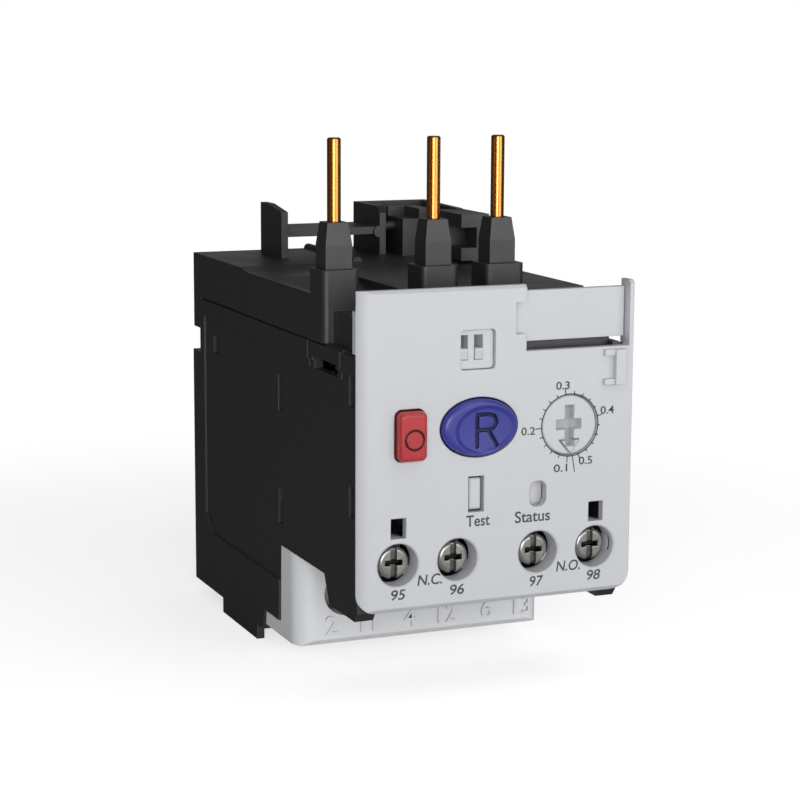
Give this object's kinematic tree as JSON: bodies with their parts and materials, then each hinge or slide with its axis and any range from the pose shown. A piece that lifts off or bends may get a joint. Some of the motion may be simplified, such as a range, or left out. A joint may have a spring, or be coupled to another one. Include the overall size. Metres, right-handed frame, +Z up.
{
  "type": "electronic overload relay",
  "caption": "Electronic motor overload relay with line pins on top, load terminals below and a front with dial, switches and buttons.",
  "frame": {"origin": "centre line of the housing on its flat back face, level with the lower edge of the front cover", "axes": "+X right seen from the front, +Y from the front cover to the back, +Z up along the line pins"},
  "size_m": [0.045, 0.0819, 0.0851],
  "materials": {
    "black_plastic": "moulded, slightly satin",
    "grey_plastic": "light grey moulded, satin",
    "white_plastic": "white moulded, satin",
    "blue_plastic": "blue moulded",
    "red_plastic": "red moulded",
    "dark_plastic": "dark moulded",
    "flag_plastic": "light grey indicator",
    "circuit_board": "glass-fibre board",
    "copper": "bare copper alloy",
    "copper_wire": "enamelled winding wire",
    "brass": "contact spring alloy",
    "iron": "soft iron",
    "plated_steel": "zinc plated",
    "spring_steel": "spring wire"
  },
  "bodies": {
    "housing": {"base_housing": "black_plastic", "upper_housing": "black_plastic", "contactor_latch": "black_plastic", "latch_core": "black_plastic", "front_cover": "grey_plastic", "label_plate": "grey_plastic", "terminal_block": "white_plastic", "front_board": "circuit_board", "main_board": "circuit_board", "potentiometer": "dark_plastic", "switch_body": "grey_plastic", "relay_yoke": "iron", "relay_coil": "copper_wire", "pin_sleeve_1": "black_plastic", "phase_conductor_1": "copper", "load_tab_1": "copper", "transformer_winding_1": "copper_wire", "transformer_core_1": "iron", "pin_sleeve_2": "black_plastic", "phase_conductor_2": "copper", "load_tab_2": "copper", "transformer_winding_2": "copper_wire", "transformer_core_2": "iron", "pin_sleeve_3": "black_plastic", "phase_conductor_3": "copper", "load_tab_3": "copper", "transformer_winding_3": "copper_wire", "transformer_core_3": "iron", "contact_strap_1": "brass", "contact_strap_2": "brass", "contact_strap_3": "brass", "contact_strap_4": "brass"},
    "reset": {"reset_button": "blue_plastic", "reset_spring": "spring_steel"},
    "stop": {"stop_button": "red_plastic", "stop_spring": "spring_steel"},
    "test": {"test_lever": "white_plastic", "test_spring": "spring_steel"},
    "dial": {"setting_dial": "grey_plastic"},
    "lever_1": {"switch_lever_1": "white_plastic"},
    "lever_2": {"switch_lever_2": "white_plastic"},
    "carrier": {"contact_carrier": "dark_plastic", "status_flag": "flag_plastic", "nc_bridge": "brass", "no_bridge": "brass"},
    "armature": {"relay_armature": "iron"},
    "load_screw_1": {"load_screw_1": "plated_steel"},
    "load_clamp_1": {"load_clamp_1": "plated_steel"},
    "load_screw_2": {"load_screw_2": "plated_steel"},
    "load_clamp_2": {"load_clamp_2": "plated_steel"},
    "load_screw_3": {"load_screw_3": "plated_steel"},
    "load_clamp_3": {"load_clamp_3": "plated_steel"},
    "aux_screw_1": {"aux_screw_1": "plated_steel"},
    "aux_clamp_1": {"aux_clamp_1": "plated_steel"},
    "aux_screw_2": {"aux_screw_2": "plated_steel"},
    "aux_clamp_2": {"aux_clamp_2": "plated_steel"},
    "aux_screw_3": {"aux_screw_3": "plated_steel"},
    "aux_clamp_3": {"aux_clamp_3": "plated_steel"},
    "aux_screw_4": {"aux_screw_4": "plated_steel"},
    "aux_clamp_4": {"aux_clamp_4": "plated_steel"}
  },
  "joints": [
    {"name": "reset_press", "type": "slide", "parent": "housing", "child": "reset", "axis": [0, 1, 0], "range_m": [0, 0.002], "stiffness_N_per_m": 400, "springref_m": -0.002, "deforming": ["reset_spring"]},
    {"name": "stop_press", "type": "slide", "parent": "housing", "child": "stop", "axis": [0, 1, 0], "range_m": [0, 0.0018], "stiffness_N_per_m": 400, "springref_m": -0.002, "deforming": ["stop_spring"]},
    {"name": "test_press", "type": "slide", "parent": "housing", "child": "test", "axis": [0, 1, 0], "range_m": [0, 0.0015], "stiffness_N_per_m": 300, "springref_m": -0.002, "deforming": ["test_spring"]},
    {"name": "dial_turn", "type": "hinge", "parent": "housing", "child": "dial", "pos_m": [0.0124, -0.0801, 0.0265], "axis": [0, 1, 0], "range_deg": [0, 340]},
    {"name": "lever_1_slide", "type": "slide", "parent": "housing", "child": "lever_1", "axis": [0, 0, 1], "range_m": [0, 0.0019]},
    {"name": "lever_2_slide", "type": "slide", "parent": "housing", "child": "lever_2", "axis": [0, 0, 1], "range_m": [0, 0.0019]},
    {"name": "trip_lift", "type": "slide", "parent": "housing", "child": "carrier", "axis": [0, 0, 1], "range_m": [0, 0.0012]},
    {"name": "armature_swing", "type": "hinge", "parent": "housing", "child": "armature", "pos_m": [0.0077, -0.055, 0.00915], "axis": [0, 1, 0], "range_deg": [0, 4.63]},
    {"name": "load_clamp_1_draw", "type": "slide", "parent": "housing", "child": "load_clamp_1", "axis": [0, -1, 0], "range_m": [0, 0.0039]},
    {"name": "load_screw_1_turn", "type": "hinge", "parent": "housing", "child": "load_screw_1", "pos_m": [-0.0134, -0.0505, -0.0038], "axis": [0, 1, 0], "range_deg": [0, 2007.7]},
    {"name": "load_clamp_2_draw", "type": "slide", "parent": "housing", "child": "load_clamp_2", "axis": [0, -1, 0], "range_m": [0, 0.0039]},
    {"name": "load_screw_2_turn", "type": "hinge", "parent": "housing", "child": "load_screw_2", "pos_m": [0.0006, -0.0505, -0.0038], "axis": [0, 1, 0], "range_deg": [0, 2007.7]},
    {"name": "load_clamp_3_draw", "type": "slide", "parent": "housing", "child": "load_clamp_3", "axis": [0, -1, 0], "range_m": [0, 0.0039]},
    {"name": "load_screw_3_turn", "type": "hinge", "parent": "housing", "child": "load_screw_3", "pos_m": [0.0146, -0.0505, -0.0038], "axis": [0, 1, 0], "range_deg": [0, 2007.7]},
    {"name": "aux_clamp_1_draw", "type": "slide", "parent": "housing", "child": "aux_clamp_1", "axis": [0, -1, 0], "range_m": [0, 0.0025]},
    {"name": "aux_screw_1_turn", "type": "hinge", "parent": "housing", "child": "aux_screw_1", "pos_m": [-0.01567, -0.0784, 0.0072], "axis": [0, 1, 0], "range_deg": [0, 1502]},
    {"name": "aux_clamp_2_draw", "type": "slide", "parent": "housing", "child": "aux_clamp_2", "axis": [0, -1, 0], "range_m": [0, 0.0025]},
    {"name": "aux_screw_2_turn", "type": "hinge", "parent": "housing", "child": "aux_screw_2", "pos_m": [-0.006, -0.0784, 0.0072], "axis": [0, 1, 0], "range_deg": [0, 1502]},
    {"name": "aux_clamp_3_draw", "type": "slide", "parent": "housing", "child": "aux_clamp_3", "axis": [0, -1, 0], "range_m": [0, 0.0025]},
    {"name": "aux_screw_3_turn", "type": "hinge", "parent": "housing", "child": "aux_screw_3", "pos_m": [0.0074, -0.0784, 0.0072], "axis": [0, 1, 0], "range_deg": [0, 1502]},
    {"name": "aux_clamp_4_draw", "type": "slide", "parent": "housing", "child": "aux_clamp_4", "axis": [0, -1, 0], "range_m": [0, 0.0025]},
    {"name": "aux_screw_4_turn", "type": "hinge", "parent": "housing", "child": "aux_screw_4", "pos_m": [0.01707, -0.0784, 0.0072], "axis": [0, 1, 0], "range_deg": [0, 1502]}
  ],
  "couplings": [
    {"joint": "armature_swing", "follows": "trip_lift", "rad_per_m": 66.667},
    {"joint": "load_screw_1_turn", "follows": "load_clamp_1_draw", "rad_per_m": 8976},
    {"joint": "load_screw_2_turn", "follows": "load_clamp_2_draw", "rad_per_m": 8976},
    {"joint": "load_screw_3_turn", "follows": "load_clamp_3_draw", "rad_per_m": 8976},
    {"joint": "aux_screw_1_turn", "follows": "aux_clamp_1_draw", "rad_per_m": 10472},
    {"joint": "aux_screw_2_turn", "follows": "aux_clamp_2_draw", "rad_per_m": 10472},
    {"joint": "aux_screw_3_turn", "follows": "aux_clamp_3_draw", "rad_per_m": 10472},
    {"joint": "aux_screw_4_turn", "follows": "aux_clamp_4_draw", "rad_per_m": 10472}
  ]
}
